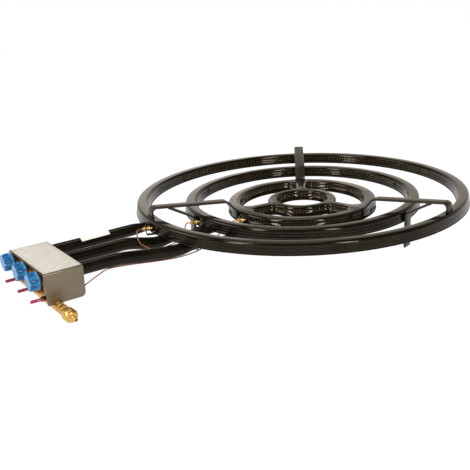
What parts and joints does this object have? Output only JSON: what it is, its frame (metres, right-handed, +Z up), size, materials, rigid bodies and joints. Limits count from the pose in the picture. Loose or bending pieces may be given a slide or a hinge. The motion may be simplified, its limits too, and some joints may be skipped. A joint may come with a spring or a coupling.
{
  "type": "paella gas burner",
  "caption": "Three concentric enamelled gas rings on bent flat bars, fed by mixing tubes from a control box with taps and safety buttons, for heating paella pans.",
  "frame": {"origin": "on the floor under the middle of the bounding box", "axes": "+Z up, -Y towards the control box and its knobs, +X to the right as seen by someone at the knobs"},
  "size_m": [0.7024, 0.974, 0.1036],
  "materials": {
    "enamel": "glossy black vitreous enamel",
    "bar_steel": "satin black enamel on flat bar",
    "stainless": "brushed stainless sheet",
    "brass": "machined brass",
    "copper": "drawn copper, bright",
    "blue_grip": "satin blue moulding",
    "black_plastic": "matt black moulding",
    "red_rod": "glossy red moulding"
  },
  "bodies": {
    "burner": {"outer_ring_channel": "enamel", "outer_ring_pan": "enamel", "outer_mixing_tube": "enamel", "middle_ring_channel": "enamel", "middle_ring_pan": "enamel", "middle_mixing_tube": "enamel", "inner_ring_channel": "enamel", "inner_ring_pan": "enamel", "inner_mixing_tube": "enamel", "pan_support_1": "bar_steel", "leg_bracket_1": "bar_steel", "thermocouple_bracket_1": "bar_steel", "valve_body_1": "brass", "injector_1": "brass", "magnet_unit_1": "brass", "thermocouple_1": "brass", "button_gland_1": "copper", "capillary_1": "copper", "pan_support_2": "bar_steel", "leg_bracket_2": "bar_steel", "thermocouple_bracket_2": "bar_steel", "valve_body_2": "brass", "injector_2": "brass", "magnet_unit_2": "brass", "thermocouple_2": "brass", "button_gland_2": "copper", "capillary_2": "copper", "pan_support_3": "bar_steel", "leg_bracket_3": "bar_steel", "thermocouple_bracket_3": "bar_steel", "valve_body_3": "brass", "injector_3": "brass", "magnet_unit_3": "brass", "thermocouple_3": "brass", "button_gland_3": "copper", "capillary_3": "copper", "control_cover": "stainless", "tube_plate": "stainless", "gas_rail": "brass", "rail_plug": "brass", "inlet_fitting": "brass", "union_nut": "brass", "hose_nozzle": "brass"},
    "tap_1": {"knob_1": "blue_grip", "knob_collar_1": "black_plastic", "tap_stem_1": "brass"},
    "button_1": {"push_button_1": "red_rod"},
    "tap_2": {"knob_2": "blue_grip", "knob_collar_2": "black_plastic", "tap_stem_2": "brass"},
    "button_2": {"push_button_2": "red_rod"},
    "tap_3": {"knob_3": "blue_grip", "knob_collar_3": "black_plastic", "tap_stem_3": "brass"},
    "button_3": {"push_button_3": "red_rod"}
  },
  "joints": [
    {"name": "tap_1_turn", "type": "hinge", "parent": "burner", "child": "tap_1", "pos_m": [-0.06, -0.468, 0.063], "axis": [0, -1, 0], "range_deg": [0, 210]},
    {"name": "button_1_push", "type": "slide", "parent": "burner", "child": "button_1", "axis": [0, 1, 0], "range_m": [0, 0.006], "stiffness_N_per_m": 500},
    {"name": "tap_2_turn", "type": "hinge", "parent": "burner", "child": "tap_2", "pos_m": [0, -0.468, 0.063], "axis": [0, -1, 0], "range_deg": [0, 210]},
    {"name": "button_2_push", "type": "slide", "parent": "burner", "child": "button_2", "axis": [0, 1, 0], "range_m": [0, 0.006], "stiffness_N_per_m": 500},
    {"name": "tap_3_turn", "type": "hinge", "parent": "burner", "child": "tap_3", "pos_m": [0.06, -0.468, 0.063], "axis": [0, -1, 0], "range_deg": [0, 210]},
    {"name": "button_3_push", "type": "slide", "parent": "burner", "child": "button_3", "axis": [0, 1, 0], "range_m": [0, 0.006], "stiffness_N_per_m": 500}
  ]
}
